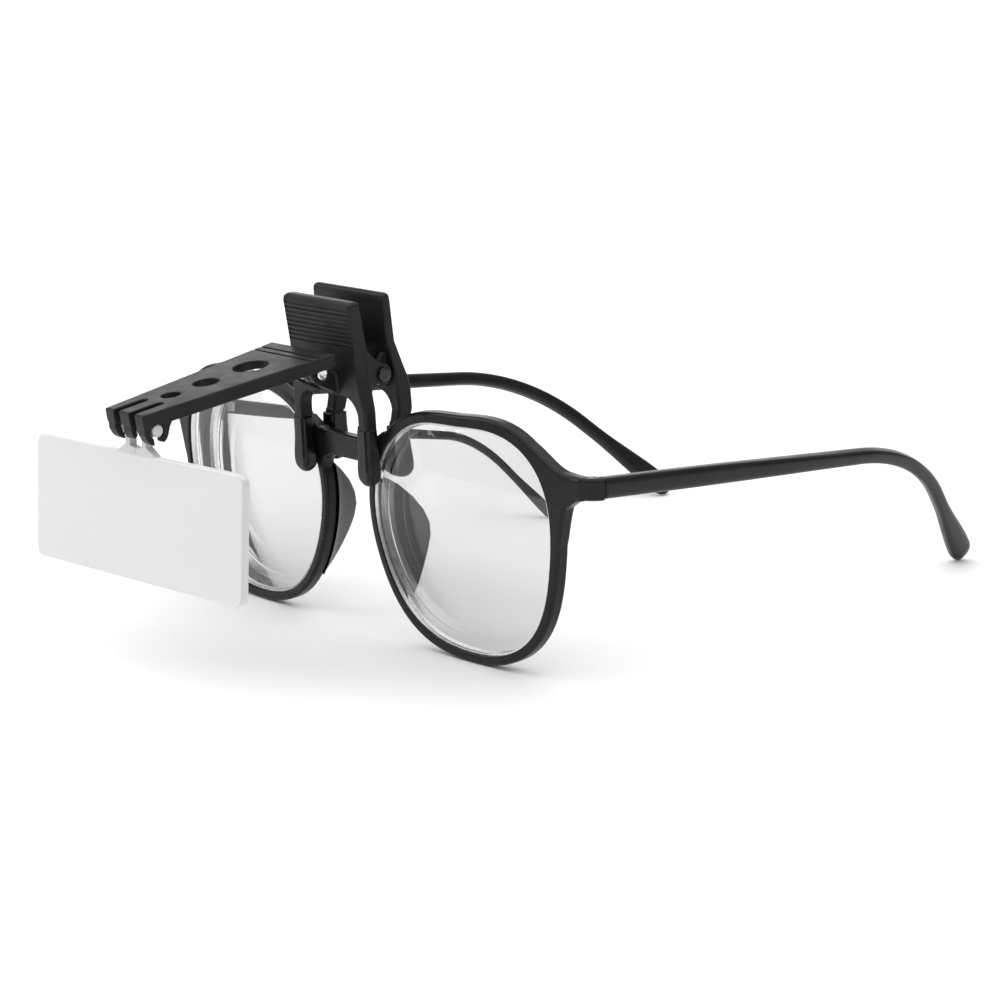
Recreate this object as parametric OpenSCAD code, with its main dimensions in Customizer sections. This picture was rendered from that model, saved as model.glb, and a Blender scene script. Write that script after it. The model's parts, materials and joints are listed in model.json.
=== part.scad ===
// Clip-on flip-up magnifier loupe on a pair of plastic eyeglasses.
// Millimetres. X across the face, Y from the front towards the ears, Z up.
// The model stands on the two rims and the two temple tips, on Z = 0.

/* [Eyeglass front] */
// Distance from the middle of the nose to the middle of a lens opening
opening_x = 32.41; // [28:0.01:38]
// Mean radius of a lens opening
opening_r = 24.91; // [20:0.01:30]
// Cosine harmonics of the opening outline
opening_cos = [2.427, 1.212, -0.137, -0.705, -0.33]; // [-5:0.001:5]
// Sine harmonics of the opening outline
opening_sin = [-1.49, -0.065, 0.835, 0.156, 0.136]; // [-5:0.001:5]
// Width of the rim seen from the front
rim_w = 1.95; // [1:0.05:4]
// Extra width of the rim along its upper side
rim_top_extra = 0.25; // [0:0.05:1]
// Extra width of the rim at its upper nasal corner
rim_corner_extra = 0.45; // [0:0.05:1]
// Depth of the rim from front to back
rim_depth = 3.08; // [2:0.01:6]
// Radius of the wrap of the whole front around the face
wrap_r = 763.5; // [300:0.5:2000]
// Top of the bridge
bridge_top = 14.4; // [10:0.1:20]
// Underside of the bridge
bridge_bottom = 9.4; // [5:0.1:12]
// Half the width over the two end pieces
end_x = 72.1; // [60:0.1:80]
// Underside of the end piece
end_bottom = 10.5; // [5:0.1:15]
// Top of the end piece
end_top = 15.35; // [10:0.05:20]
// Back face of the end piece, where the temple butts against it
seam_y = 6.3; // [5:0.1:10]

/* [Lenses] */
// Thickness of a lens at its optical centre
lens_t = 1.1; // [0.8:0.1:3]
// Radius of the front surface of a lens
lens_front_r = 400; // [100:1:1000]
// Radius of the hollow back surface of a lens
lens_back_r = 88; // [40:1:400]
// Optical centre, measured from the middle of the nose
lens_optic_x = 30.5; // [24:0.1:36]

/* [Temples] */
// Height of the temple section
temple_h = 4.2; // [3:0.1:8]
// Thickness of the temple section
temple_t = 3.4; // [2:0.1:5]
// Straight length from the seam to the ear bend
temple_straight = 78.8; // [60:0.1:100]
// Radius of the ear bend
temple_bend_r = 54.7; // [30:0.1:80]
// Angle turned by the ear bend
temple_bend = 39.8; // [20:0.1:60]
// Straight length after the ear bend, up to the middle of the round end
temple_tail = 27.3; // [10:0.1:40]
// Angle by which the temple closes in towards the head
temple_toe = 4.07; // [0:0.01:10]
// Angle by which the temple drops towards the ear
temple_pitch = 7.22; // [0:0.01:15]
// Roll of the ear bend towards the head
temple_roll = 24.6; // [0:0.1:45]

/* [Clip] */
// Half the width of the front finger grip
front_grip_half_w = 11; // [8:0.1:14]
// Half the width of the rear finger grip
rear_grip_half_w = 11.7; // [8:0.1:14]
// Radius of the upper corners of a finger grip
grip_corner_r = 1.2; // [0.5:0.1:3]
// Outer edge of a leg, from the middle
leg_out_x = 12; // [9:0.1:14]
// Inner edge of a leg, from the middle
leg_in_x = 9.25; // [7:0.1:12]
// Height of the arch between the legs
arch_top = 23.7; // [20:0.1:28]
// Radius of the corners of the arch
arch_r = 4; // [1:0.1:6]
// Number of grooves across a finger grip
grip_grooves = 9; // [4:1:14]
// Distance between two grooves
groove_pitch = 0.95; // [0.6:0.05:2]
// Width of a groove
groove_w = 0.4; // [0.2:0.05:0.8]
// Depth of a groove
groove_depth = 0.35; // [0.1:0.05:0.6]
// Distance by which a groove stops short of the side of the grip
groove_inset = 0.45; // [0:0.05:2]
// Radius of the pin that joins the two jaws
jaw_pin_r = 0.9; // [0.6:0.05:1.5]
// Width of a rubber boot
boot_w = 3.8; // [2.6:0.1:5]
// Depth of a front rubber boot
boot_front_d = 3.75; // [3.5:0.05:6]
// Depth of a rear rubber boot
boot_rear_d = 4.9; // [3.5:0.05:6]
// Length of a front rubber boot
boot_front_h = 11.8; // [8:0.1:16]
// Length of a rear rubber boot
boot_rear_h = 10.6; // [8:0.1:16]

/* [Arm] */
// Length of the arm
arm_len = 43.9; // [30:0.1:60]
// Half the width of the arm at the clip
arm_rear_half_w = 10.4; // [8:0.1:14]
// Half the width of the arm at its free end
arm_front_half_w = 6.4; // [5:0.1:9]
// Thickness of the arm's top plate
arm_t = 1.8; // [1.2:0.1:3]
// Depth of the arm's skirt
arm_skirt = 2.9; // [2:0.1:5]
// Slope of the arm at rest
arm_drop = 6.94; // [0:0.01:15]
// Diameters of the three holes, from the clip forwards
arm_holes_d = [7.2, 5.3, 3.9]; // [2:0.1:9]
// Distances of the three holes from the rear end of the arm
arm_holes_at = [13.2, 24.2, 32.7]; // [5:0.1:40]
// Radius of the arm's pivot pin
arm_pin_r = 0.8; // [0.6:0.05:1.5]

/* [Magnifier] */
// Width of the magnifying lens
mag_w = 67.8; // [50:0.1:90]
// Height of the magnifying lens
mag_h = 25; // [18:0.1:40]
// Thickness of the magnifying lens at its middle
mag_t = 2.3; // [2:0.1:5]
// Radius of the curved front of the magnifying lens
mag_front_r = 1100; // [150:1:2000]
// Corner radius of the magnifying lens
mag_corner_r = 2; // [0.5:0.1:6]
// Forward swing of the magnifying lens at rest
mag_swing = 6.7; // [0:0.1:20]
// Radius of the clear cross bar
mag_bar_r = 1.25; // [0.8:0.05:2]
// Play of the cross bar in its hooks
mag_play = 0.32; // [0.2:0.01:0.5]
// Skew of the loosely hooked magnifying lens at rest, seen from above
mag_yaw = 1.97; // [0:0.01:3]
// Skew of the loosely hooked magnifying lens at rest, seen from the front
mag_roll = -0.74; // [-2:0.01:2]

/* [Hidden] */
$fn = 64;

// The glasses lean back by this angle when they stand on rims and tips.
lean = 2.765;
seat_y = -42.97;
seat_z = 27.18;

// Small gaps: between glued or pressed pieces, and around a running pin.
snug = 0.03;
run_gap = 0.06;

wrap_back_r = wrap_r - rim_depth;
outline_steps = 120;

// Hinge axis of a temple, and the knuckles along it.
hinge_x = 67.2;
hinge_y = 7.4;
knuckle_r = 1.3;
knuckle_low = 10.4;
knuckle_high = 14;
knuckle_split = 1.2;
screw_r = 0.55;
screw_head_r = 1.05;
screw_head_h = 0.5;
leaf_t = 0.85;
leaf_h = 3.2;
leaf_z = 10.6;
// Flat land on the back of the front, where the fixed leaf of a hinge is screwed on.
land_x = 61.7;
land_y = 5.6;
temple_x = 70.4;
temple_z = 12.96;
tip_h = 5.2;
temple_bend_h = 3.4;
temple_bend_t = 3;
ring_points = 20;
// Exponent of the temple section: 1 is an ellipse, towards 0 a box.
temple_section = 0.66;

// Pivots of the clip: jaw pin, arm pin and magnifier bar.
jaw_pivot = [2.8, 28];
arm_pivot = [-9, 29.6];
arm_rear = [-8.65, 34.15];
bar_pivot = [-48.9, 25.2];
ear_r = 2.3;
lug_r = 2.2;
hook_r = 2.75;
jaw_pin_half = 11.9;
foot_low = 2.2;
foot_d = 2.8;
front_grip_top = 43.8;
rear_grip_top = 44.6;
arm_pin_half = 6.9;
spring_wire_r = 0.35;
spring_coil_r = 1.55;
spring_turn = 1.8 * spring_wire_r;

// Radius of the opening outline and its slope at angle a.
function outline_r(a, k = 0) = k == 5 ? opening_r
    : outline_r(a, k + 1) + opening_cos[k] * cos((k + 1) * a) + opening_sin[k] * sin((k + 1) * a);
function outline_dr(a, k = 0) = k == 5 ? 0
    : outline_dr(a, k + 1) + (k + 1) * (opening_sin[k] * cos((k + 1) * a)
        - opening_cos[k] * sin((k + 1) * a));
function outline_tangent(a) = [outline_dr(a) * cos(a) - outline_r(a) * sin(a),
    outline_dr(a) * sin(a) + outline_r(a) * cos(a)];
function outline_point(a, grow) = outline_r(a) * [cos(a), sin(a)]
    + grow * [outline_tangent(a)[1], -outline_tangent(a)[0]] / norm(outline_tangent(a));
function arc(c, r, a0, a1, n = 10) = [for (i = [0:n]) c + r * [cos(a0 + (a1 - a0) * i / n),
    sin(a0 + (a1 - a0) * i / n)]];
// Front face of the wrapped front at distance x from the middle.
function wrap_y(x) = wrap_r - sqrt(wrap_r * wrap_r - x * x);

// Stands the glasses on the floor.
module seat() {
    translate([0, seat_y, seat_z])
        rotate([lean, 0, 0])
            children();
}

// Extrudes a 2D shape drawn in X and Z from y0 to y1.
module along_y(y0, y1) {
    translate([0, y1, 0])
        rotate([90, 0, 0])
            linear_extrude(height = y1 - y0)
                children();
}

// Extrudes a 2D shape drawn in Y and Z from x0 to x1.
module along_x(x0, x1) {
    translate([x0, 0, 0])
        rotate([90, 0, 90])
            linear_extrude(height = x1 - x0)
                children();
}

// The right side, or its mirror image for the left side.
module side(s) {
    if (s > 0) {
        children();
    } else {
        mirror([1, 0, 0])
            children();
    }
}

module both_sides() {
    children();
    mirror([1, 0, 0])
        children();
}

module round_rect(w, h, r) {
    square([w - 2 * r, h], center = true);
    square([w, h - 2 * r], center = true);
    for (i = [-1, 1], j = [-1, 1])
        translate([i * (w / 2 - r), j * (h / 2 - r)])
            circle(r = r);
}

// A shape with a round lower end and a flat top.
module u_shape(w, h) {
    translate([-w / 2, w / 2])
        square([w, h - w / 2]);
    translate([0, w / 2])
        circle(d = w);
}

module opening_2d(grow) {
    translate([opening_x, 0])
        polygon([for (i = [0:outline_steps - 1]) outline_point(360 * i / outline_steps, grow)]);
}

// Outside of the rim, wider along the top and at the upper nasal corner.
module rim_2d() {
    translate([opening_x, 0])
        polygon([for (i = [0:outline_steps - 1]) let (a = 360 * i / outline_steps)
            outline_point(a, rim_w + rim_top_extra * max(0, sin(a))
                + rim_corner_extra * pow(max(0, cos(a - 138)), 4))]);
}

// Outline of the bridge, flared where it meets the rims.
module bridge_2d() {
    polygon(concat(
        [[-12.5, 16.6], [-9, 14.9], [-5, bridge_top], [5, bridge_top], [9, 14.9], [12.5, 16.6]],
        [[12, 13], [8.6, 6.5], [6.6, 8.6], [4, bridge_bottom], [-4, bridge_bottom],
            [-6.6, 8.6], [-8.6, 6.5], [-12, 13]]));
}

// Outline of the widened upper corner of the rim.
module corner_2d() {
    polygon([[54.5, 20], [55.8, 19.6], [58.4, 17.5], [61, 16.3], [63.5, 15.6], [66, end_top],
        [68.6, end_top], [68.6, end_bottom], [66.5, 9.9], [64, 8.4], [61, 3]]);
}

// The block that turns back from the front to the temple.
module end_block() {
    translate([0, 0, end_bottom])
        linear_extrude(height = end_top - end_bottom)
            polygon(concat([[62, 2.55], [66, 2.9]], arc([68.8, 6.4], 3.3, -90, -2),
                [[end_x, seam_y], [68.7, seam_y], [68.7, land_y], [62, land_y]]));
}

module front_frame() {
    color([0.04, 0.04, 0.045])
    seat() {
        difference() {
            intersection() {
                along_y(-2, 12)
                    union() {
                        both_sides() {
                            rim_2d();
                            corner_2d();
                        }
                        bridge_2d();
                    }
                translate([0, wrap_r, -40])
                    cylinder(h = 80, r = wrap_r, $fn = 720);
            }
            translate([0, wrap_r, -41])
                cylinder(h = 82, r = wrap_back_r, $fn = 720);
            along_y(-3, 13)
                both_sides()
                    opening_2d(0);
            both_sides()
                translate([land_x, land_y, end_bottom - 0.6])
                    cube([10, 4, end_top - end_bottom + 1.2]);
        }
        both_sides()
            end_block();
    }
}

// A wing that rests on the side of the nose, bonded behind the rim.
module nose_pad(s) {
    pad_r = 11.8;
    pad_depth = 8.9;
    pad_t = 2.4;
    color([0.05, 0.05, 0.055])
    seat()
        side(s)
            translate([8.9, rim_depth + 0.12, -5.8])
                rotate([0, 0, -24])
                    intersection() {
                        translate([-pad_t / 2, pad_depth - pad_r, 0])
                            rotate([0, 90, 0])
                                cylinder(h = pad_t, r = pad_r);
                        translate([-4, 0.55, -14])
                            cube([8, 10, 28]);
                    }
}

// Height of a dome of radius r at distance d from its top.
function dome(r, d) = r - sqrt(r * r - d * d);

module lens(s) {
    lens_y = wrap_y(opening_x) - 0.3;
    turn = asin(opening_x / wrap_r);
    reach = 36;
    steps = 12;
    color([0.85, 0.87, 0.88, 0.35])
    seat()
        side(s)
            intersection() {
                along_y(-4, 12)
                    opening_2d(-snug);
                translate([lens_optic_x, lens_y, -1])
                    rotate([-90, 0, turn])
                        rotate_extrude($fn = 96)
                            polygon(concat(
                                [for (i = [0:steps]) let (d = reach * i / steps)
                                    [d, dome(lens_front_r, d)]],
                                [for (i = [0:steps]) let (d = reach * (steps - i) / steps)
                                    [d, lens_t + dome(lens_back_r, d)]]));
            }
}

// Knuckle of a hinge with its screw hole.
module knuckle(z0, z1) {
    translate([hinge_x, hinge_y, z0])
        difference() {
            cylinder(h = z1 - z0, r = knuckle_r);
            translate([0, 0, -1])
                cylinder(h = z1 - z0 + 2, r = screw_r + run_gap);
        }
}

module hinge_front(s) {
    color([0.6, 0.6, 0.62])
    seat()
        side(s) {
            knuckle(knuckle_low, knuckle_low + knuckle_split);
            knuckle(knuckle_high - knuckle_split, knuckle_high);
            for (z0 = [knuckle_low, knuckle_high - knuckle_split])
                translate([65.4, land_y + snug, z0])
                    cube([1.5, leaf_t, knuckle_split]);
            translate([61.8, land_y + snug, leaf_z])
                cube([4, leaf_t, leaf_h]);
        }
}

module hinge_screw(s) {
    color([0.72, 0.72, 0.74])
    seat()
        side(s)
            translate([hinge_x, hinge_y, 0])
                difference() {
                    union() {
                        translate([0, 0, knuckle_low])
                            cylinder(h = knuckle_high - knuckle_low + 0.02, r = screw_r);
                        translate([0, 0, knuckle_high + 0.02])
                            cylinder(h = screw_head_h, r = screw_head_r);
                    }
                    translate([-2, -0.15, knuckle_high + 0.32])
                        cube([4, 0.3, 1]);
                }
}

// Local frame of a temple: +Y runs along it, origin at the seam.
module temple_frame() {
    translate([temple_x, seam_y + 0.15, temple_z])
        rotate([-temple_pitch, 0, temple_toe])
            children();
}

// Smooth step from 0 at a to 1 at b.
function ease(x, a, b) = let (t = min(1, max(0, (x - a) / (b - a)))) t * t * (3 - 2 * t);
// Length of the centre line, the angle turned at distance d along it, and the centre line.
temple_arc = temple_bend_r * temple_bend * PI / 180;
temple_len = temple_straight + temple_arc + temple_tail + tip_h / 2;
function turned(d) = min(temple_bend, max(0, (d - temple_straight) / temple_bend_r * 180 / PI));
bend_to = [-sin(temple_roll), 0, -cos(temple_roll)];
function temple_dir(d) = cos(turned(d)) * [0, 1, 0] + sin(turned(d)) * bend_to;
function temple_point(d) = [0, min(d, temple_straight), 0]
    + temple_bend_r * (sin(turned(d)) * [0, 1, 0] + (1 - cos(turned(d))) * bend_to)
    + max(0, d - temple_straight - temple_arc) * temple_dir(d);
// Height and thickness of the section, rounded off over the last stretch.
function tip_round(d) = sqrt(max(0.0004, 1 - pow(max(0, d - temple_len + tip_h / 2) / (tip_h / 2), 2)));
function height_at(d) = tip_round(d) * (temple_h + (temple_bend_h - temple_h) * ease(d, 20, 95)
    + (tip_h - temple_bend_h) * ease(d, temple_len - 26, temple_len - 5));
function thickness_at(d) = tip_round(d) * (temple_t + (temple_bend_t - temple_t) * ease(d, 20, 95));
// One section as a ring of points; the first one lies in the plane of the seam.
function sign_pow(v, e) = sign(v) * pow(abs(v), e);
function ring(d) = let (
        turn = temple_roll * ease(d, 30, temple_straight + 10),
        across = [cos(turn), 0, -sin(turn)],
        up = cross(across, temple_dir(d)))
    [for (i = [0:ring_points - 1]) let (
        a = 360 * i / ring_points,
        u = thickness_at(d) / 2 * sign_pow(cos(a), temple_section),
        v = height_at(d) / 2 * sign_pow(sin(a), temple_section))
        temple_point(d) + u * across + v * up
            - (d == 0 ? [0, (u * tan(temple_toe) + v * sin(temple_pitch)) / cos(temple_pitch), 0]
                : [0, 0, 0])];
function stations() = concat([0, 15, 30, 40, 50, 60, 70],
    [for (i = [0:12]) temple_straight + temple_arc * i / 12],
    [for (i = [1:5]) temple_straight + temple_arc + temple_tail * i / 5],
    [for (a = [20:14:90]) temple_len - tip_h / 2 * (1 - sin(a))]);

module temple(s) {
    rings = [for (d = stations()) ring(d)];
    n = ring_points;
    last = (len(rings) - 1) * n;
    color([0.04, 0.04, 0.045])
    seat()
        side(s)
            temple_frame()
                polyhedron(
                    points = [for (r = rings, p = r) p],
                    faces = concat(
                        [[for (i = [0:n - 1]) i]],
                        [for (k = [0:len(rings) - 2], i = [0:n - 1]) let (
                            a = k * n + i, b = k * n + (i + 1) % n)
                            [a, a + n, b]],
                        [for (k = [0:len(rings) - 2], i = [0:n - 1]) let (
                            a = k * n + i, b = k * n + (i + 1) % n)
                            [b, a + n, b + n]],
                        [[for (i = [n - 1:-1:0]) last + i]]));
}

module hinge_temple(s) {
    mid_low = knuckle_low + knuckle_split + 0.12;
    mid_high = knuckle_high - knuckle_split - 0.12;
    color([0.6, 0.6, 0.62])
    seat()
        side(s) {
            knuckle(mid_low, mid_high);
            // Web from the knuckle back to the leaf on the inner face of the temple.
            translate([hinge_x + screw_r + 0.1, hinge_y - 0.5, mid_low])
                cube([0.6, 2.7, mid_high - mid_low]);
            temple_frame()
                translate([-temple_t / 2 - snug - leaf_t, 2.6, -1.3])
                    cube([leaf_t, 7.5, 2.6]);
        }
}

// Front view of a jaw: a grip on top, an arch below it and two legs.
module jaw_2d(half_w, top, body_low) {
    grip_low = 30;
    difference() {
        union() {
            translate([-half_w, grip_low])
                square([2 * half_w, top - grip_low - grip_corner_r]);
            translate([-half_w + grip_corner_r, grip_low])
                square([2 * (half_w - grip_corner_r), top - grip_low]);
            for (i = [-1, 1])
                translate([i * (half_w - grip_corner_r), top - grip_corner_r])
                    circle(r = grip_corner_r);
            polygon([[-leg_out_x, body_low], [leg_out_x, body_low], [leg_out_x, 21],
                [half_w, 28], [half_w, 33], [-half_w, 33], [-half_w, 28], [-leg_out_x, 21]]);
        }
        translate([-leg_in_x, 0])
            square([2 * leg_in_x, arch_top - arch_r]);
        translate([-leg_in_x + arch_r, 0])
            square([2 * (leg_in_x - arch_r), arch_top]);
        for (i = [-1, 1])
            translate([i * (leg_in_x - arch_r), arch_top - arch_r])
                circle(r = arch_r);
    }
}

// Grooves across a grip whose outer face passes through [y, z] and leans by a.
// The grooves start at z and each one reaches from y0 to y1 through that face.
module grooves(half_w, y, z, a, y0, y1) {
    translate([0, y, z])
        rotate([a, 0, 0])
            for (i = [0:grip_grooves - 1])
                translate([-half_w + groove_inset, y0, i * groove_pitch])
                    cube([2 * (half_w - groove_inset), y1 - y0, groove_w]);
}

// An ear that carries a pin: a disc at the pivot and a web back to the jaw.
module ear_2d(p, r, web) {
    translate(p)
        circle(r = r);
    polygon(web);
}

module front_jaw() {
    color([0.06, 0.06, 0.065])
    seat()
        difference() {
            union() {
                intersection() {
                    along_y(-8, 4)
                        jaw_2d(front_grip_half_w, front_grip_top, 16.9);
                    along_x(-13, 13)
                        polygon([[-3.2, 16], [-3.2, 20], [-3.6, 25], [-4, 33.6], [-5, 42.2],
                            [-4.8, 43.2], [-4.1, 43.8], [-2.6, 43.8], [-1.95, 43.2], [-1.2, 37.4],
                            [-0.6, 33.6], [-0.4, 28], [-0.2, 22], [-0.2, 16]]);
                }
                both_sides() {
                    // Foot of the leg, inside the rubber boot.
                    front_boot_frame()
                        boot_foot(boot_front_d, boot_front_h);
                    // Ear for the jaw pin.
                    along_x(9.9, front_grip_half_w)
                        ear_2d(jaw_pivot, ear_r, [[-1.2, 23.8], [1.2, 26.4], [2.8, 28], [2.6, 30.3],
                            [1.2, 31.4], [-1.2, 33.8]]);
                    // Lug for the arm pin.
                    along_x(2.3, 4.2)
                        ear_2d(arm_pivot, lug_r, [[-10.2, 27.8], [-3.4, 24.2], [-3.6, 28.3],
                            [-6.9, 29], [-9, 29.6]]);
                }
            }
            grooves(front_grip_half_w, -4.06, 34.1, 6.7, -groove_depth, groove_depth);
            translate([-20, jaw_pivot[0], jaw_pivot[1]])
                rotate([0, 90, 0])
                    cylinder(h = 40, r = jaw_pin_r + run_gap);
            translate([-8, arm_pivot[0], arm_pivot[1]])
                rotate([0, 90, 0])
                    cylinder(h = 16, r = arm_pin_r + run_gap);
        }
}

module rear_jaw() {
    color([0.06, 0.06, 0.065])
    seat()
        difference() {
            union() {
                intersection() {
                    along_y(0, 12)
                        jaw_2d(rear_grip_half_w, rear_grip_top, 17.1);
                    along_x(-13, 13)
                        polygon([[4.9, 17], [5.6, 20], [5.6, 26], [5.4, 28], [4.6, 32], [3.9, 34],
                            [3.6, 37], [3.4, 43], [3.5, 43.9], [3.9, 44.6], [4.7, 44.6], [5.1, 44],
                            [5.3, 42.6], [5.85, 34.5], [6.4, 33], [7.5, 30], [8.8, 26.6], [9.2, 24],
                            [9.2, 20], [8.2, 17]]);
                }
                both_sides() {
                    rear_boot_frame()
                        boot_foot(boot_rear_d, boot_rear_h);
                    along_x(8.4, 9.6)
                        ear_2d(jaw_pivot, ear_r, [[2.8, 28], [4.2, 26], [6.2, 24.5], [6, 32],
                            [4.2, 32], [2.6, 30.3]]);
                }
            }
            grooves(rear_grip_half_w, 5.87, 34.1, 3.9, -0.3, 0.5);
            translate([-20, jaw_pivot[0], jaw_pivot[1]])
                rotate([0, 90, 0])
                    cylinder(h = 40, r = jaw_pin_r + run_gap);
        }
}

// Local frames of the boots: the bottom of the front face; the rear boot leans like its leg.
module front_boot_frame() {
    translate([0, -boot_front_d - snug, 5.05])
        children();
}

module rear_boot_frame() {
    translate([0, 3.44, 6.3])
        rotate([-2, 0, 0])
            children();
}

// The foot of a leg inside a boot of depth d and height h; it reaches up into the jaw.
module boot_foot(d, h) {
    translate([leg_in_x, (d - foot_d) / 2, foot_low])
        cube([leg_out_x - leg_in_x, foot_d, h - foot_low + 0.8]);
}

// A rubber boot with its pocket for the foot of the leg; front face at Y = 0.
module boot_shape(d, h) {
    difference() {
        intersection() {
            translate([(leg_in_x + leg_out_x) / 2, 0, 0])
                along_y(0, d)
                    u_shape(boot_w, h);
            translate([0, d / 2, 0])
                along_x(6, 14)
                    u_shape(d, h);
        }
        translate([leg_in_x - snug, (d - foot_d) / 2 - snug, foot_low - snug])
            cube([leg_out_x - leg_in_x + 2 * snug, foot_d + 2 * snug, h]);
    }
}

module boot_front(s) {
    color([0.03, 0.03, 0.03])
    seat()
        side(s)
            front_boot_frame()
                boot_shape(boot_front_d, boot_front_h);
}

module boot_rear(s) {
    color([0.03, 0.03, 0.03])
    seat()
        side(s)
            rear_boot_frame()
                boot_shape(boot_rear_d, boot_rear_h);
}

// A straight pin along X with a round head at each end.
module headed_pin(half, r, head_r) {
    rotate([0, 90, 0]) {
        cylinder(h = 2 * half - 1.2, r = r, center = true);
        for (i = [-1, 1])
            translate([0, 0, i * (half - 0.3)])
                cylinder(h = 0.6, r = head_r, center = true);
    }
}

module jaw_pin() {
    color([0.2, 0.2, 0.2])
    seat()
        translate([0, jaw_pivot[0], jaw_pivot[1]])
            headed_pin(jaw_pin_half, jaw_pin_r, 1.5);
}

module arm_pin() {
    color([0.8, 0.8, 0.82])
    seat()
        translate([0, arm_pivot[0], arm_pivot[1]])
            headed_pin(arm_pin_half, arm_pin_r, 1.3);
}

// Turns of spring wire side by side around a pin along X.
module coil(turns) {
    for (i = [0:turns - 1])
        translate([(i - (turns - 1) / 2) * spring_turn, 0, 0])
            rotate([0, 90, 0])
                rotate_extrude($fn = 40)
                    translate([spring_coil_r, 0])
                        circle(r = spring_wire_r, $fn = 16);
}

// A straight end of spring wire, leaving the coil at height dz, turned by a about X.
module wire_end(x, dy, dz, a, l) {
    translate([x, dy, dz])
        rotate([a, 0, 0])
            cylinder(h = l, r = spring_wire_r, $fn = 16);
}

module jaw_spring() {
    last_turn_x = 3.5 * spring_turn;
    color([0.75, 0.75, 0.77])
    seat()
        translate([0, jaw_pivot[0], jaw_pivot[1]]) {
            coil(8);
            wire_end(-last_turn_x, -spring_coil_r, 0, 8, 6.5);
            wire_end(last_turn_x, spring_coil_r - 0.4, 0.6, 9, 4);
        }
}

module arm_spring() {
    last_turn_x = 2.5 * spring_turn;
    color([0.75, 0.75, 0.77])
    seat()
        translate([0, arm_pivot[0], arm_pivot[1]]) {
            coil(6);
            wire_end(last_turn_x, -0.5, -spring_coil_r + 0.06, -78, 4.6);
            wire_end(-last_turn_x, 0.5, spring_coil_r - 0.13, 96, 6);
        }
}

// Local frame of the arm: origin at the top of its rear end, -Y along it.
module arm_frame() {
    translate([0, arm_rear[0], arm_rear[1]])
        rotate([arm_drop, 0, 0])
            children();
}

module arm_plan(inset) {
    polygon([[-arm_rear_half_w + inset, -inset], [arm_rear_half_w - inset, -inset],
        [arm_front_half_w - inset, -arm_len], [-arm_front_half_w + inset, -arm_len]]);
}

module arm() {
    pivot = [-0.9, -4.475];
    bar = [-41.04, -4.02];
    color([0.06, 0.06, 0.065])
    seat()
        arm_frame()
            difference() {
                union() {
                    difference() {
                        translate([0, 0, -arm_skirt])
                            linear_extrude(height = arm_skirt)
                                arm_plan(0);
                        // Hollow underside between the skirts.
                        translate([0, 0, -arm_skirt - 1])
                            linear_extrude(height = arm_skirt - arm_t + 1)
                                intersection() {
                                    arm_plan(1.5);
                                    translate([-12, -35.5])
                                        square([24, 40]);
                                }
                        // Gap in the rear wall for the lugs and the spring of the pivot.
                        translate([-4.35, -3, -arm_skirt - 1])
                            cube([8.7, 4, arm_skirt - arm_t + 1]);
                        // Slots that free the middle finger.
                        both_sides()
                            translate([1.7, -arm_len - 1, -arm_skirt - 1])
                                cube([1.9, 8.4, arm_skirt + 2]);
                    }
                    both_sides() {
                        // Hook that snaps over the cross bar.
                        along_x(3.9, 6.3)
                            ear_2d(bar, hook_r, [[-43.8, -4.2], [-43.8, -1.5], [-36, -1.5], [-38.4, -4.4]]);
                        // Ear on the arm pin.
                        along_x(4.5, 6)
                            ear_2d(pivot, lug_r, [[-3.1, -4.5], [-4.2, -1.4], [-0.3, -1.4], [1.2, -3.9]]);
                    }
                    // Tongue that bears on the cross bar.
                    along_x(-1.5, 1.5)
                        intersection() {
                            translate(bar)
                                circle(r = 2.7);
                            polygon([[-44, 0], [-40, 0], [-40.4, -4.02], [-41.04, -4.02], [-43.9, -6]]);
                        }
                }
                // Cavity and mouth of the hooks.
                translate([-3.9, bar[0], bar[1]])
                    rotate([0, 90, 0])
                        cylinder(h = 7.8, r = mag_bar_r + mag_play + 0.1);
                translate([-10, bar[0], bar[1]])
                    rotate([0, 90, 0])
                        cylinder(h = 20, r = mag_bar_r + mag_play);
                translate([-10, bar[0] - 1.05, bar[1] - 4])
                    cube([20, 2.1, 4]);
                translate([-8, pivot[0], pivot[1]])
                    rotate([0, 90, 0])
                        cylinder(h = 16, r = arm_pin_r + run_gap);
                for (i = [0:2])
                    translate([0, -arm_holes_at[i], -10])
                        cylinder(h = 20, d = arm_holes_d[i]);
                // Two grooves across the rear end.
                for (u = [3.1, 5.1])
                    translate([-12, -u - 0.5, -0.4])
                        cube([24, 0.5, 1]);
            }
}

module magnifier() {
    top = 5;
    edge_back = 0.9;
    color([0.93, 0.94, 0.95, 0.4])
    seat()
        translate([0, bar_pivot[0], bar_pivot[1]])
            rotate([-mag_swing, mag_roll, mag_yaw]) {
                intersection() {
                    along_y(-6, edge_back)
                        translate([0, -top - mag_h / 2])
                            round_rect(mag_w, mag_h, mag_corner_r);
                    translate([0, edge_back - mag_t, -top - mag_h / 2])
                        rotate([-90, 0, 0])
                            rotate_extrude($fn = 96)
                                polygon(concat([for (i = [0:10]) [4 * i, dome(mag_front_r, 4 * i)]],
                                    [[40, mag_t + 1], [0, mag_t + 1]]));
                }
                rotate([0, 90, 0])
                    cylinder(h = 12.4, r = mag_bar_r, center = true);
                both_sides()
                    along_y(-0.9, edge_back)
                        polygon([[1.9, 0], [3.4, 0], [3.4, -3.4], [7, -top - 0.5], [0, -top - 0.5],
                            [0, -3.9], [1.9, -3.6]]);
            }
}

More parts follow.
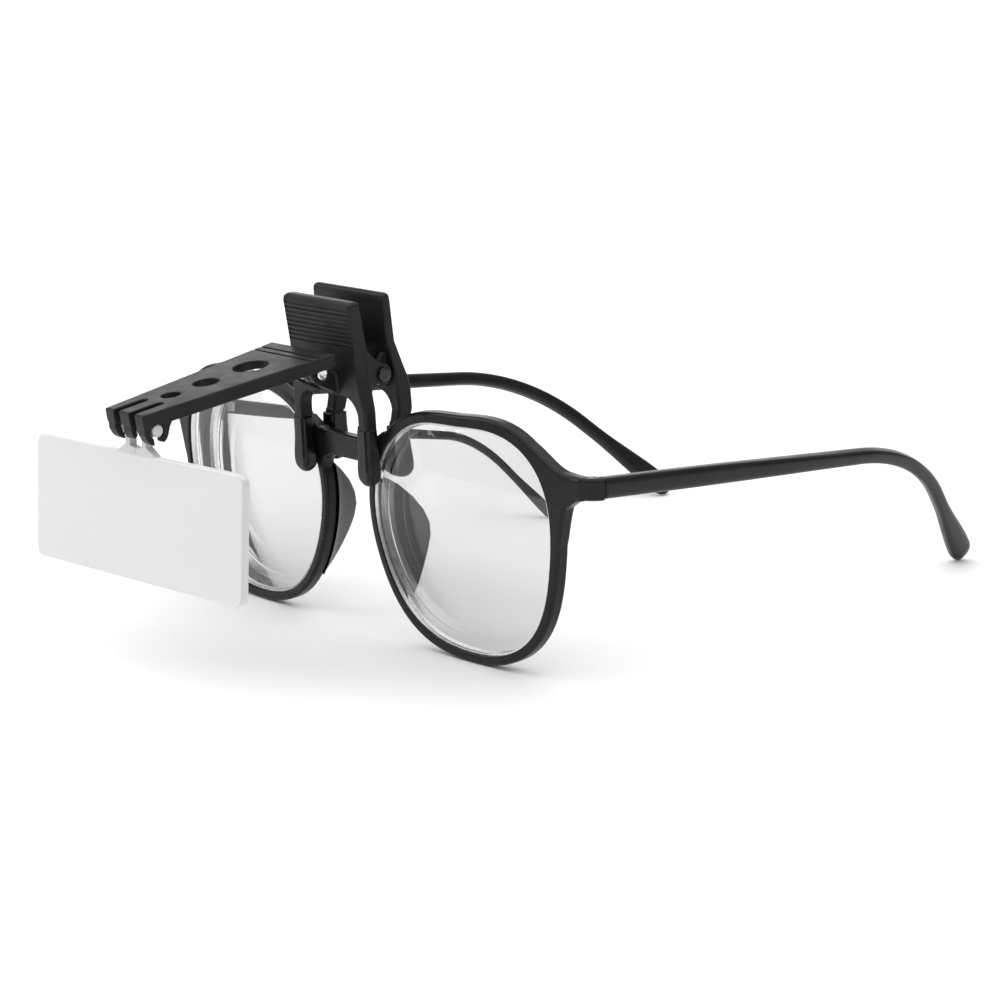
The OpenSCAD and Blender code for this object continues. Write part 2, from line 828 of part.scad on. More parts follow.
front_frame();
nose_pad(-1);  // nose_pad_left
nose_pad(1);  // nose_pad_right
lens(-1);  // lens_left
lens(1);  // lens_right
hinge_front(-1);  // hinge_front_left
hinge_front(1);  // hinge_front_right
hinge_screw(-1);  // hinge_screw_left
hinge_screw(1);  // hinge_screw_right
temple(-1);  // temple_left
temple(1);  // temple_right
hinge_temple(-1);  // hinge_temple_left
hinge_temple(1);  // hinge_temple_right
front_jaw();
boot_front(-1);  // boot_front_left
boot_front(1);  // boot_front_right
jaw_pin();
jaw_spring();
arm_pin();
arm_spring();
rear_jaw();
boot_rear(-1);  // boot_rear_left
boot_rear(1);  // boot_rear_right
arm();
magnifier();
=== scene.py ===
"""Clip-on flip-up magnifier loupe on plastic eyeglasses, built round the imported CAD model.

Shapes are worked out in millimetres in the glasses' own frame: X across the face, Y from the
front towards the ears, Z up, with the origin at the front of the bridge. SEAT stands that frame
on the floor. Moulded parts are signed distances (negative inside), meshed by a surface net.
"""
import json
import math
import bpy
import numpy as np
from mathutils import Matrix, Vector


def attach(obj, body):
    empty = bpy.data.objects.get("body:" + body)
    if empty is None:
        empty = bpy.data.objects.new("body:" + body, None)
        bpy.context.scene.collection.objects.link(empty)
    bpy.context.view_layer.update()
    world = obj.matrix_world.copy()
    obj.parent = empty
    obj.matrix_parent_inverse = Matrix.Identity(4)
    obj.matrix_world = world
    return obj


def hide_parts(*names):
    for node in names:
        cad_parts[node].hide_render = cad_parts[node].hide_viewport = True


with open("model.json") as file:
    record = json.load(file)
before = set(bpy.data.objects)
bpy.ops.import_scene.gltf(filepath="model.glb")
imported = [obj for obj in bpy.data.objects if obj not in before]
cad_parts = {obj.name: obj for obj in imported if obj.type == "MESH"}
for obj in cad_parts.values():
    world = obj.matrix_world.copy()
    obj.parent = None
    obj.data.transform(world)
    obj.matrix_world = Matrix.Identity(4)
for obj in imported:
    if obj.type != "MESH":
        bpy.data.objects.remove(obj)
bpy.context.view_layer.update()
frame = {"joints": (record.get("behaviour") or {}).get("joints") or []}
joints = {j["name"]: j for j in frame["joints"]}

# ---- Eyeglass front ----
# The lens opening: its centre, its mean radius and the waves that shape it.
OPENING_X = 32.41
OPENING_R = 24.91
OPENING_COS = (2.427, 1.212, -0.137, -0.705, -0.33)
OPENING_SIN = (-1.49, -0.065, 0.835, 0.156, 0.136)
RIM_W = 1.95
RIM_TOP_EXTRA = 0.25
RIM_CORNER_EXTRA = 0.45
RIM_CORNER_AT = math.radians(138)
RIM_DEPTH = 3.08
WRAP_R = 763.5
# Outlines seen from the front, as X and Z: the bridge, and the corner that carries the hinge.
BRIDGE = [(-12.5, 16.6), (-9, 14.9), (-5, 14.4), (5, 14.4), (9, 14.9), (12.5, 16.6),
          (12, 13), (8.6, 6.5), (6.6, 8.6), (4, 9.4), (-4, 9.4), (-6.6, 8.6), (-8.6, 6.5), (-12, 13)]
CORNER = [(56, 17.5), (58.4, 16.9), (61, 16.1), (63.5, 15.4), (66, 15.05),
          (68.6, 14.95), (68.6, 10.7), (66.5, 10.1), (64, 8.4), (61, 3)]
# The end piece seen from above, from the front face round to the temple, and its height.
END_X = 72.1
END_WALL_X = 68.7
END_BEND = [(62, 3.2), (66, 3.2), (68.2, 3.08), (69.9, 3.75), (71.2, 4.85), (71.95, 6), (END_X, 8)]
END_LOW = 10.7
END_HIGH = 15.08
SEAM_Y = 6.3
# The flat land behind the corner that the hinge leaf lies on.
LAND_X = 61.7
LAND_Y = 5.6
LAND_MARGIN = 0.6
# A nose pad: its half thickness, what its root adds, and its outline as depth behind the rim and Z.
PAD_SLANT = math.radians(24)
PAD_OVERLAP = 0.9
PAD_HALF = 0.95
PAD_ROOT = 0.35
PAD_SIDE = [(-2, 7.6), (0, 7), (2.6, 5), (5.6, 2), (7.7, -1), (8.7, -4), (8.2, -7), (6.6, -10), (4.6, -13),
            (2.4, -16), (0.4, -18.2), (-2, -19.5)]

# ---- Lenses ----
# Centre thickness, radii of the two faces, optical centre, and how the edge sits in the rim.
LENS_T = 1.1
LENS_FRONT_R = 400
LENS_BACK_R = 88
LENS_X = 30.5
LENS_Z = -1
LENS_PROUD = 0.3
LENS_CLEARANCE = 0.04
LENS_BEVEL = 0.35
LENS_BACK_BEVEL = 0.6
# The innermost ring of a face, as a share of the radius.
LENS_CENTRE = 0.04

# ---- Temples ----
TEMPLE_H = 4.2
TEMPLE_T = 3.4
TEMPLE_STRAIGHT = 78.8
BEND_R = 54.7
BEND = math.radians(39.8)
TEMPLE_TAIL = 27.3
TOE = math.radians(4.07)
PITCH = math.radians(7.22)
ROLL = math.radians(24.6)
TEMPLE_AT = (70.4, 6.45, 12.96)
BEND_H = 3
BEND_T = 3
TIP_H = 5.5
TIP_ROUND = 4.2
# Where the temple gets slimmer, along its length, and where the tip flares, before its end.
TAPER = (20, 95)
TIP_FLARE = (26, 5)
TEMPLE_SECTION = 0.66

# ---- Hinges ----
# The screw's axis as X and Y.
HINGE = (67.2, 7.4)
KNUCKLE_R = 1.3
KNUCKLE_LOW = 10.4
KNUCKLE_HIGH = 14.0
KNUCKLE_SPLIT = 1.2
SCREW_R = 0.55
SCREW_HEAD_R = 1.05
LEAF_T = 0.85
RIVET_R = 0.8
RIVET_PROUD = 0.25
# The gap between pieces that lie against each other.
PLAY = 0.03

# ---- Clip ----
FRONT_GRIP_HALF = 11
REAR_GRIP_HALF = 11.7
GRIP_CORNER = 1.2
FRONT_GRIP_TOP = 43.8
REAR_GRIP_TOP = 44.6
FRONT_JAW_LOW = 16.9
REAR_JAW_LOW = 17.1
LEG_OUT = 12
LEG_IN = 9.25
SHOULDER = (21, 28)
ARCH_TOP = 23.7
ARCH_R = 4
# Finger grooves: the first one's Y and Z on each grip, the lean of the grip, and their depth range.
GROOVES = 9
GROOVE_PITCH = 0.95
GROOVE_W = 0.4
GROOVE_INSET = 0.45
FRONT_RIBS = (-4.06, 34.1, math.radians(6.7), -0.35, 0.35)
REAR_RIBS = (5.87, 34.1, math.radians(3.9), -0.3, 0.5)
# Pivots as Y and Z, and the ears and lugs round them as X ranges. The pins through them are given
# as half length, radius, radius of the head and length of the head.
JAW_PIVOT = (2.8, 28)
ARM_PIVOT = (-9, 29.6)
BAR_PIVOT = (-48.9, 25.2)
EAR_R = 2.3
FRONT_EAR_IN = 9.9
REAR_EAR_X = (8.4, 9.6)
LUG_R = 2.2
LUG_X = (2.3, 4.2)
JAW_PIN_R = 0.9
JAW_PIN = (11.9, JAW_PIN_R, 1.5, 0.6)
ARM_PIN_R = 0.8
ARM_PIN = (6.9, ARM_PIN_R, 1.3, 0.6)
PIN_CLEARANCE = 0.05
# Rubber boots and the feet of the legs inside them.
BOOT_W = 4.2
FRONT_BOOT_D = 3.75
REAR_BOOT_D = 4.9
BOOT_END = 2.9
BOOT_BULGE = 0.25
FRONT_BOOT_H = 12.3
REAR_BOOT_H = 10.6
FOOT_LOW = 2.2
FOOT_D = 2.8
FRONT_BOOT_AT = (0, -3.78, 5.05)
REAR_BOOT_AT = (0, 3.44, 6.3)
REAR_BOOT_LEAN = math.radians(-2)
WIRE_R = 0.35
COIL_R = 1.55
WIRE_PITCH = 0.72

# ---- Arm ----
ARM_AT = (0, -8.65, 34.15)
ARM_DROP = math.radians(6.94)
ARM_LEN = 43.9
ARM_REAR_HALF = 10.4
ARM_FRONT_HALF = 6.4
ARM_T = 1.8
ARM_SKIRT = 2.9
ARM_WALL = 1.5
ARM_HOLLOW_END = 35.5
# The holes as diameter and distance along the arm, and the two cross lines at its rear end.
ARM_HOLES = ((7.2, 13.2), (5.3, 24.2), (3.9, 32.7))
ARM_LINES = (3.35, 5.35)
# The arm pin and the magnifier's bar in the arm's own frame, as Y and Z.
ARM_EAR = (-0.9, -4.475)
ARM_EAR_X = (4.5, 6)
ARM_BAR = (-41.04, -4.02)
HOOK_R = 2.75
HOOK_X = (3.9, 6.3)
HOOK_MOUTH = 1.05
TONGUE_R = 2.7
TONGUE_HALF = 1.5
# The two slots beside the tongue, as half width, middle and half length.
SLOT = (0.95, 2.65, 9.4)

# ---- Magnifier ----
MAG_W = 67.8
MAG_H = 25
MAG_T = 2.3
MAG_TOP = 5
MAG_BACK = 0.9
MAG_FRONT_R = 1100
MAG_CORNER = 2
MAG_SWING = math.radians(-6.7)
MAG_ROLL = math.radians(-0.74)
MAG_YAW = math.radians(1.97)
MAG_PLAY = 0.32
MAG_BEVEL = 0.35
MAG_STEM_T = 1.8
BAR_R = 1.25
BAR_HALF = 6.2

# ---- The glasses' frame on the floor, from the clip's joints ----
lift = joints["clip_lift"]["axis"]
lean = math.atan2(-lift[1], lift[2])
jaw_at = [1000 * v for v in joints["rear_jaw_squeeze"]["pos_m"]]
SEAT = Matrix.Translation((
    0,
    jaw_at[1] - JAW_PIVOT[0] * math.cos(lean) + JAW_PIVOT[1] * math.sin(lean),
    jaw_at[2] - JAW_PIVOT[0] * math.sin(lean) - JAW_PIVOT[1] * math.cos(lean),
)) @ Matrix.Rotation(lean, 4, "X")


def placed(at, angle=0.0, axis="X"):
    """A local frame at a point of the glasses' frame, turned about one axis."""
    return Matrix.Translation(at) @ Matrix.Rotation(angle, 4, axis)


IDENTITY = Matrix.Identity(4)
FRONT_BOOT = placed(FRONT_BOOT_AT)
REAR_BOOT = placed(REAR_BOOT_AT, REAR_BOOT_LEAN)
ARM = placed(ARM_AT, ARM_DROP)
MAGNIFIER = (placed((0, *BAR_PIVOT), MAG_YAW, "Z") @ Matrix.Rotation(MAG_ROLL, 4, "Y")
             @ Matrix.Rotation(MAG_SWING, 4, "X"))
TEMPLE = placed(TEMPLE_AT, TOE, "Z") @ Matrix.Rotation(-PITCH, 4, "X")


# ---------------------------------------------------------------- signed distances
def meet(a, b, r=0.0):
    """Intersection with its edge rounded to radius r."""
    if r <= 0:
        return np.maximum(a, b)
    return np.minimum(np.maximum(a, b), -r) + np.hypot(np.maximum(a + r, 0), np.maximum(b + r, 0))


def join(a, b, r=0.0):
    """Union with a fillet of radius r."""
    return -meet(-a, -b, r)


def cut(a, b, r=0.0):
    """a without b."""
    return meet(a, -b, r)


def span(v, low, high):
    """A slab between two values."""
    return np.maximum(low - v, v - high)


def brick(u, v, half_u, half_v, r):
    """Rectangle with round corners."""
    p = np.abs(u) - half_u + r
    q = np.abs(v) - half_v + r
    return np.minimum(np.maximum(p, q), 0) + np.hypot(np.maximum(p, 0), np.maximum(q, 0)) - r


def block(x, y, z, low, high, r=0.1):
    """Box between two corners with rounded edges."""
    parts = [np.abs(v - (a + b) / 2) - (b - a) / 2 for v, a, b in zip((x, y, z), low, high)]
    return meet(meet(parts[0], parts[1], r), parts[2], r)


def polygon(u, v, points):
    """A closed outline in two coordinates."""
    best, sign = None, 1.0
    for (ax, ay), (bx, by) in zip(points, points[1:] + points[:1]):
        ex, ey = bx - ax, by - ay
        wx, wy = u - ax, v - ay
        t = np.clip((wx * ex + wy * ey) / (ex * ex + ey * ey), 0, 1)
        d = (wx - ex * t) ** 2 + (wy - ey * t) ** 2
        best = d if best is None else np.minimum(best, d)
        above, below, left = wy >= 0, v < by, ex * wy > ey * wx
        flip = (above & below & left) | (~above & ~below & ~left)
        sign = np.where(flip, -sign, sign)
    return sign * np.sqrt(best)


def outline(a):
    """Radius of a lens opening at angle a, and its slope."""
    r, slope = OPENING_R, 0.0
    for k, (c, s) in enumerate(zip(OPENING_COS, OPENING_SIN), 1):
        r = r + c * np.cos(k * a) + s * np.sin(k * a)
        slope = slope + k * (s * np.cos(k * a) - c * np.sin(k * a))
    return r, slope


def opening(x, z):
    """Distance to the outline of the lens opening, and the angle round it."""
    dx = np.abs(x) - OPENING_X
    rho = np.maximum(np.hypot(dx, z), 1e-6)
    a = np.arctan2(z, dx)
    r, slope = outline(a)
    return (rho - r) / np.hypot(1, slope / r), a


def wrap(x):
    """Front face of the wrapped front."""
    return WRAP_R - np.sqrt(WRAP_R * WRAP_R - x * x)


# ---------------------------------------------------------------- meshing
def surface_net(f, low, high, step):
    """Vertices and quads of the surface f = 0 in a box, with outward faces."""
    counts = [int(math.ceil((b - a) / step)) + 1 for a, b in zip(low, high)]
    x, y, z = np.ix_(*[a + step * np.arange(n) for a, n in zip(low, counts)])
    v = np.ascontiguousarray(np.broadcast_to(f(x, y, z), counts)).astype(np.float32)
    inside = v < 0
    cells = [n - 1 for n in counts]
    corner = [(i, j, k) for i in (0, 1) for j in (0, 1) for k in (0, 1)]

    def shifted(a, o):
        return a[o[0]:o[0] + cells[0], o[1]:o[1] + cells[1], o[2]:o[2] + cells[2]]

    filled = sum(shifted(inside, o).astype(np.uint8) for o in corner)
    active = np.nonzero((filled > 0) & (filled < 8))
    index = np.full(cells, -1, np.int32)
    index[active] = np.arange(len(active[0]))
    base = np.array(active).T
    total = np.zeros((len(base), 3))
    hits = np.zeros(len(base))
    at = {o: v[tuple((base + o).T)] for o in corner}
    for o in corner:
        for axis in range(3):
            if o[axis]:
                continue
            p = tuple(1 if k == axis else o[k] for k in range(3))
            a, b = at[o], at[p]
            crossed = (a < 0) != (b < 0)
            t = np.where(crossed, a / np.where(crossed, a - b, 1), 0)
            point = np.array(o, float) + t[:, None] * (np.array(p) - o)
            total += point * crossed[:, None]
            hits += crossed
    verts = np.array(low) + step * (base + total / hits[:, None])
    quads = []
    for axis, (m, n) in enumerate(((1, 2), (2, 0), (0, 1))):
        lo = [slice(1, c) for c in cells]
        hi = list(lo)
        lo[axis], hi[axis] = slice(0, cells[axis]), slice(1, cells[axis] + 1)
        a, b = inside[tuple(lo)], inside[tuple(hi)]
        where = np.array(np.nonzero(a != b)).T
        leaving = a[tuple(where.T)]
        first = where.copy()
        first[:, [m, n]] += 1
        ring = []
        for dm, dn in ((-1, -1), (0, -1), (0, 0), (-1, 0)):
            c = first.copy()
            c[:, m] += dm
            c[:, n] += dn
            ring.append(index[tuple(c.T)])
        ring = np.array(ring).T
        ring[~leaving] = ring[~leaving][:, ::-1]
        quads.append(ring)
    return verts, np.concatenate(quads)


def gradient(f, p, h):
    """Central differences of f at points p over a step h."""
    g = np.empty_like(p)
    for k in range(3):
        d = np.zeros(3)
        d[k] = h
        g[:, k] = (f(*(p + d).T) - f(*(p - d).T)) / (2 * h)
    return g


def settle(f, verts, step):
    """Moves vertices onto the surface and returns them with the surface's own normals."""
    for _ in range(3):
        g = gradient(f, verts, 0.2 * step)
        shift = -f(*verts.T)[:, None] * g / np.maximum((g * g).sum(1), 0.2)[:, None]
        verts = verts + np.clip(shift, -0.6 * step, 0.6 * step)
    g = gradient(f, verts, 0.25 * step)
    return verts, g / np.maximum(np.linalg.norm(g, axis=1), 1e-6)[:, None]


def to_row(points, place):
    """Points in millimetres in a local frame, as metres on the floor."""
    m = np.array(SEAT @ place)
    return (points @ m[:3, :3].T + m[:3, 3]) / 1000


def new_object(name, verts, faces, place, normals=None, sharp=None):
    """A smooth shaded mesh object from points in millimetres in the frame given by place."""
    mesh = bpy.data.meshes.new(name)
    turn = np.array((SEAT @ place).to_3x3())
    order = -1 if np.linalg.det(turn) < 0 else 1
    faces = [[int(i) for i in face][::order] for face in faces]
    mesh.from_pydata(to_row(np.asarray(verts, float), place).tolist(), [], faces)
    mesh.validate()
    mesh.shade_smooth()
    if sharp is not None:
        mesh.set_sharp_from_angle(angle=math.radians(sharp))
    if normals is not None:
        mesh.normals_split_custom_set_from_vertices((normals @ turn.T).tolist())
    obj = bpy.data.objects.new(name, mesh)
    bpy.context.scene.collection.objects.link(obj)
    return obj


def moulded(name, f, low, high, step, place=IDENTITY):
    """A mesh object from a signed distance, sampled in a box in the frame given by place."""
    verts, quads = surface_net(f, low, high, step)
    verts, normals = settle(f, verts, step)
    return new_object(name, verts, quads, place, normals)


def mirrored(side):
    """A mirror image in X for side -1."""
    return Matrix.Diagonal((side, 1, 1, 1))


def skin(rings, cap=True):
    """Faces over a list of rings with the same number of points each."""
    n = len(rings[0])
    faces = []
    for k in range(len(rings) - 1):
        for i in range(n):
            j = (i + 1) % n
            faces.append((k * n + i, k * n + j, (k + 1) * n + j, (k + 1) * n + i))
    if cap:
        faces.append(tuple(range(n))[::-1])
        faces.append(tuple((len(rings) - 1) * n + i for i in range(n)))
    return faces


def finish_piece(obj, body, node, material):
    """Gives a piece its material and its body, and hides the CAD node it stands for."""
    obj.data.materials.append(material)
    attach(obj, body)
    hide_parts(node)


# ---------------------------------------------------------------- materials
def shader(name, **sockets):
    """A new material with constant values on its shader's own sockets."""
    mat = bpy.data.materials.new(name)
    mat.use_nodes = True
    bsdf = mat.node_tree.nodes["Principled BSDF"]
    for key, value in sockets.items():
        bsdf.inputs[key.replace("_", " ")].default_value = value
    return mat, mat.node_tree, bsdf


def noise(tree, scale, detail=4.0):
    """Noise on the object's own coordinates, in waves per metre."""
    coords = tree.nodes.new("ShaderNodeTexCoord")
    tex = tree.nodes.new("ShaderNodeTexNoise")
    tex.inputs["Scale"].default_value = scale
    tex.inputs["Detail"].default_value = detail
    tree.links.new(coords.outputs["Object"], tex.inputs["Vector"])
    return tex.outputs["Fac"]


def ramp(tree, value, low, high, at=(0.35, 0.65)):
    """Maps a value to a range of greys or colours."""
    node = tree.nodes.new("ShaderNodeValToRGB")
    for element, position, colour in zip(node.color_ramp.elements, at, (low, high)):
        element.position = position
        element.color = (*colour, 1) if hasattr(colour, "__len__") else (colour, colour, colour, 1)
    tree.links.new(value, node.inputs["Fac"])
    return node.outputs["Color"]


def bump(tree, bsdf, layers):
    """Stacks bumps: each layer is a height, its strength and its depth in metres."""
    normal = None
    for height, strength, depth in layers:
        node = tree.nodes.new("ShaderNodeBump")
        node.inputs["Strength"].default_value = strength
        node.inputs["Distance"].default_value = depth
        tree.links.new(height, node.inputs["Height"])
        if normal is not None:
            tree.links.new(normal, node.inputs["Normal"])
        normal = node.outputs["Normal"]
    tree.links.new(normal, bsdf.inputs["Normal"])


def black_plastic(name, dark, light, rough_low, rough_high, grain, grain_strength):
    """Moulded black plastic: slightly uneven colour and gloss over a fine grain."""
    mat, tree, bsdf = shader(name, Specular_IOR_Level=0.22, IOR=1.49)
    tree.links.new(ramp(tree, noise(tree, 90), dark, light), bsdf.inputs["Base Color"])
    tree.links.new(ramp(tree, noise(tree, 260, 6), rough_low, rough_high), bsdf.inputs["Roughness"])
    bump(tree, bsdf, [(noise(tree, grain, 3), grain_strength, 0.00004),
                      (noise(tree, 120, 2), 0.15, 0.0001)])
    return mat


def rubber_material():
    """Smooth black rubber with a soft shine."""
    mat, tree, bsdf = shader("boot_rubber", Specular_IOR_Level=0.3)
    tree.links.new(ramp(tree, noise(tree, 300), 0.003, 0.006), bsdf.inputs["Base Color"])
    tree.links.new(ramp(tree, noise(tree, 500, 6), 0.16, 0.24), bsdf.inputs["Roughness"])
    bump(tree, bsdf, [(noise(tree, 2600, 4), 0.25, 0.00004)])
    return mat


def metal(name, colour, rough_low, rough_high):
    """Metal with slightly uneven colour and gloss over a fine grain."""
    mat, tree, bsdf = shader(name, Metallic=1.0)
    low = tuple(0.82 * c for c in colour)
    tree.links.new(ramp(tree, noise(tree, 900, 5), low, colour), bsdf.inputs["Base Color"])
    tree.links.new(ramp(tree, noise(tree, 900, 5), rough_low, rough_high), bsdf.inputs["Roughness"])
    bump(tree, bsdf, [(noise(tree, 2700, 3), 0.15, 0.00003)])
    return mat


def lens_material():
    """Clear lens plastic with a trace of grey and of wiping marks."""
    mat, tree, bsdf = shader("lens_clear", Transmission_Weight=1.0, IOR=1.5)
    tree.links.new(ramp(tree, noise(tree, 25), (0.675, 0.677, 0.68), (0.685, 0.687, 0.69)),
                   bsdf.inputs["Base Color"])
    tree.links.new(ramp(tree, noise(tree, 60, 6), 0.0, 0.015, (0.5, 0.8)), bsdf.inputs["Roughness"])
    return mat


def lens_edge_material():
    """The ground edge of a lens: clear plastic with a fine matt finish."""
    mat, tree, bsdf = shader("lens_edge", Transmission_Weight=1.0, IOR=1.5)
    tree.links.new(ramp(tree, noise(tree, 400), 0.72, 0.85), bsdf.inputs["Base Color"])
    tree.links.new(ramp(tree, noise(tree, 900, 6), 0.25, 0.4), bsdf.inputs["Roughness"])
    bump(tree, bsdf, [(noise(tree, 5000, 3), 0.2, 0.00002)])
    return mat


def magnifier_material():
    """Milky acrylic: pale, soft, with hardly anything showing through."""
    mat, tree, bsdf = shader("magnifier_milky", Transmission_Weight=0.12, IOR=1.49)
    tree.links.new(ramp(tree, noise(tree, 20, 1), (0.655, 0.657, 0.66), (0.665, 0.667, 0.67), (0, 1)),
                   bsdf.inputs["Base Color"])
    tree.links.new(ramp(tree, noise(tree, 60, 1), 0.3, 0.34, (0, 1)), bsdf.inputs["Roughness"])
    bump(tree, bsdf, [(noise(tree, 1500, 1), 0.02, 0.00001)])
    return mat


def floor_material():
    """Pale matt floor."""
    mat, tree, bsdf = shader("floor_pale", Specular_IOR_Level=0.1)
    tree.links.new(ramp(tree, noise(tree, 3), 0.93, 0.95), bsdf.inputs["Base Color"])
    tree.links.new(ramp(tree, noise(tree, 8), 0.7, 0.8), bsdf.inputs["Roughness"])
    return mat


FRAME_PLASTIC = black_plastic("frame_plastic", 0.007, 0.011, 0.26, 0.34, 2600, 0.08)
CLIP_PLASTIC = black_plastic("clip_plastic", 0.010, 0.015, 0.34, 0.44, 2200, 0.16)
RUBBER = rubber_material()
HINGE_METAL = metal("hinge_metal", (0.62, 0.62, 0.64), 0.25, 0.4)
PIN_BLACK = metal("pin_black", (0.06, 0.06, 0.063), 0.22, 0.36)
PIN_STEEL = metal("pin_steel", (0.80, 0.80, 0.82), 0.08, 0.18)
SPRING_STEEL = metal("spring_steel", (0.72, 0.72, 0.74), 0.14, 0.26)
LENS_CLEAR = lens_material()
LENS_EDGE = lens_edge_material()
MAG_MILKY = magnifier_material()


# ---------------------------------------------------------------- eyeglasses
def end_piece(x, y, z):
    """The block that turns back from the front to the temple, mirrored on both sides."""
    plan = polygon(np.abs(x), y, END_BEND + [(END_WALL_X, 8), (END_WALL_X, LAND_Y), (62, LAND_Y)])
    tall = np.abs(z - (END_LOW + END_HIGH) / 2) - (END_HIGH - END_LOW) / 2
    return meet(meet(plan, tall, 0.7), y - SEAM_Y, 0.12)


def front_shape(x, y, z):
    """The front: rims round both openings, bridge, corners and end pieces, wrapped to the face."""
    gap, a = opening(x, z)
    corner = np.maximum(-np.cos(a + RIM_CORNER_AT), 0) ** 4
    outer = gap - RIM_W - RIM_TOP_EXTRA * np.maximum(np.sin(a), 0) - RIM_CORNER_EXTRA * corner
    outer = join(outer, polygon(x, z, BRIDGE), 1.2)
    outer = join(outer, polygon(np.abs(x), z, CORNER), 3)
    front = wrap(x)
    depth = np.maximum(front - y, y - front - RIM_DEPTH)
    body = meet(meet(outer, depth, 0.75), -gap, 0.3)
    land_z = span(z, END_LOW - LAND_MARGIN, END_HIGH + LAND_MARGIN)
    land = np.maximum(np.maximum(LAND_X - np.abs(x), LAND_Y - y), land_z)
    return join(cut(body, land, 0.1), end_piece(x, y, z), 0.4)


def pad_shape(x, y, z):
    """A nose pad: a wing that follows the rim down the nose and slants outwards to the back."""
    a = np.radians(np.arange(225, 140, -3))
    middle = outline(a)[0] + RIM_W / 2
    rim_x = np.interp(z, middle * np.sin(a), OPENING_X + middle * np.cos(a))
    back = y - RIM_DEPTH
    across = (x - rim_x) * math.cos(PAD_SLANT) - back * math.sin(PAD_SLANT)
    along = back / math.cos(PAD_SLANT)
    half = PAD_HALF + PAD_ROOT * np.exp(-np.maximum(along, 0) / 2)
    wing = meet(polygon(along, z, PAD_SIDE), np.abs(across) - half, 0.8)
    return cut(meet(wing, wrap(x) + RIM_DEPTH - PAD_OVERLAP - y, 0.05), front_shape(x, y, z) - 0.01)


def lens(side):
    """A lens: two domed faces, a ground edge and a bevel on each rim of it."""
    turn = math.asin(OPENING_X / WRAP_R)
    lens_y = float(wrap(OPENING_X)) - LENS_PROUD
    angles = np.radians(np.arange(0, 360, 1.5))
    radius = outline(angles)[0] - LENS_CLEARANCE

    def face(r, dome_r, lift):
        x = OPENING_X + r * np.cos(angles)
        z = r * np.sin(angles)
        dy = np.zeros_like(x)
        for _ in range(4):
            u = (x - LENS_X) * math.cos(turn) + dy * math.sin(turn)
            d = np.hypot(u, z - LENS_Z)
            w = lift + dome_r - np.sqrt(dome_r ** 2 - d ** 2)
            dy = (w + (x - LENS_X) * math.sin(turn)) / math.cos(turn)
        return np.stack([x, lens_y + dy, z], 1)

    def front_face(r):
        return face(r, LENS_FRONT_R, 0)

    def back_face(r):
        return face(r, LENS_BACK_R, LENS_T)

    steps = np.linspace(LENS_CENTRE, 1, 24)[:-1]
    front = [front_face(radius * t) for t in steps]
    back = [back_face(radius * t) for t in steps]
    down = np.array([0, LENS_BEVEL, 0])
    rings = front + [front_face(radius - LENS_BEVEL), front_face(radius) + down,
                     back_face(radius) - 1.9 * down, back_face(radius - LENS_BACK_BEVEL)] + back[::-1]
    verts = np.concatenate(rings + [front_face(radius * 0)[:1], back_face(radius * 0)[:1]])
    n = len(angles)
    faces = skin(rings, cap=False)
    last = (len(rings) - 1) * n
    faces += [((i + 1) % n, i, len(rings) * n) for i in range(n)]
    faces += [(last + i, last + (i + 1) % n, len(rings) * n + 1) for i in range(n)]
    name = "lens_left" if side < 0 else "lens_right"
    obj = new_object(name + "_body", verts, [f[::-1] for f in faces], mirrored(side), sharp=22)
    finish_piece(obj, "glasses_front", name, LENS_CLEAR)
    obj.data.materials.append(LENS_EDGE)
    for i in range(len(front) * n, (len(front) + 3) * n):
        obj.data.polygons[i].material_index = 1


def ease(v, a, b):
    """Smooth step from 0 at a to 1 at b."""
    t = min(1.0, max(0.0, (v - a) / (b - a)))
    return t * t * (3 - 2 * t)


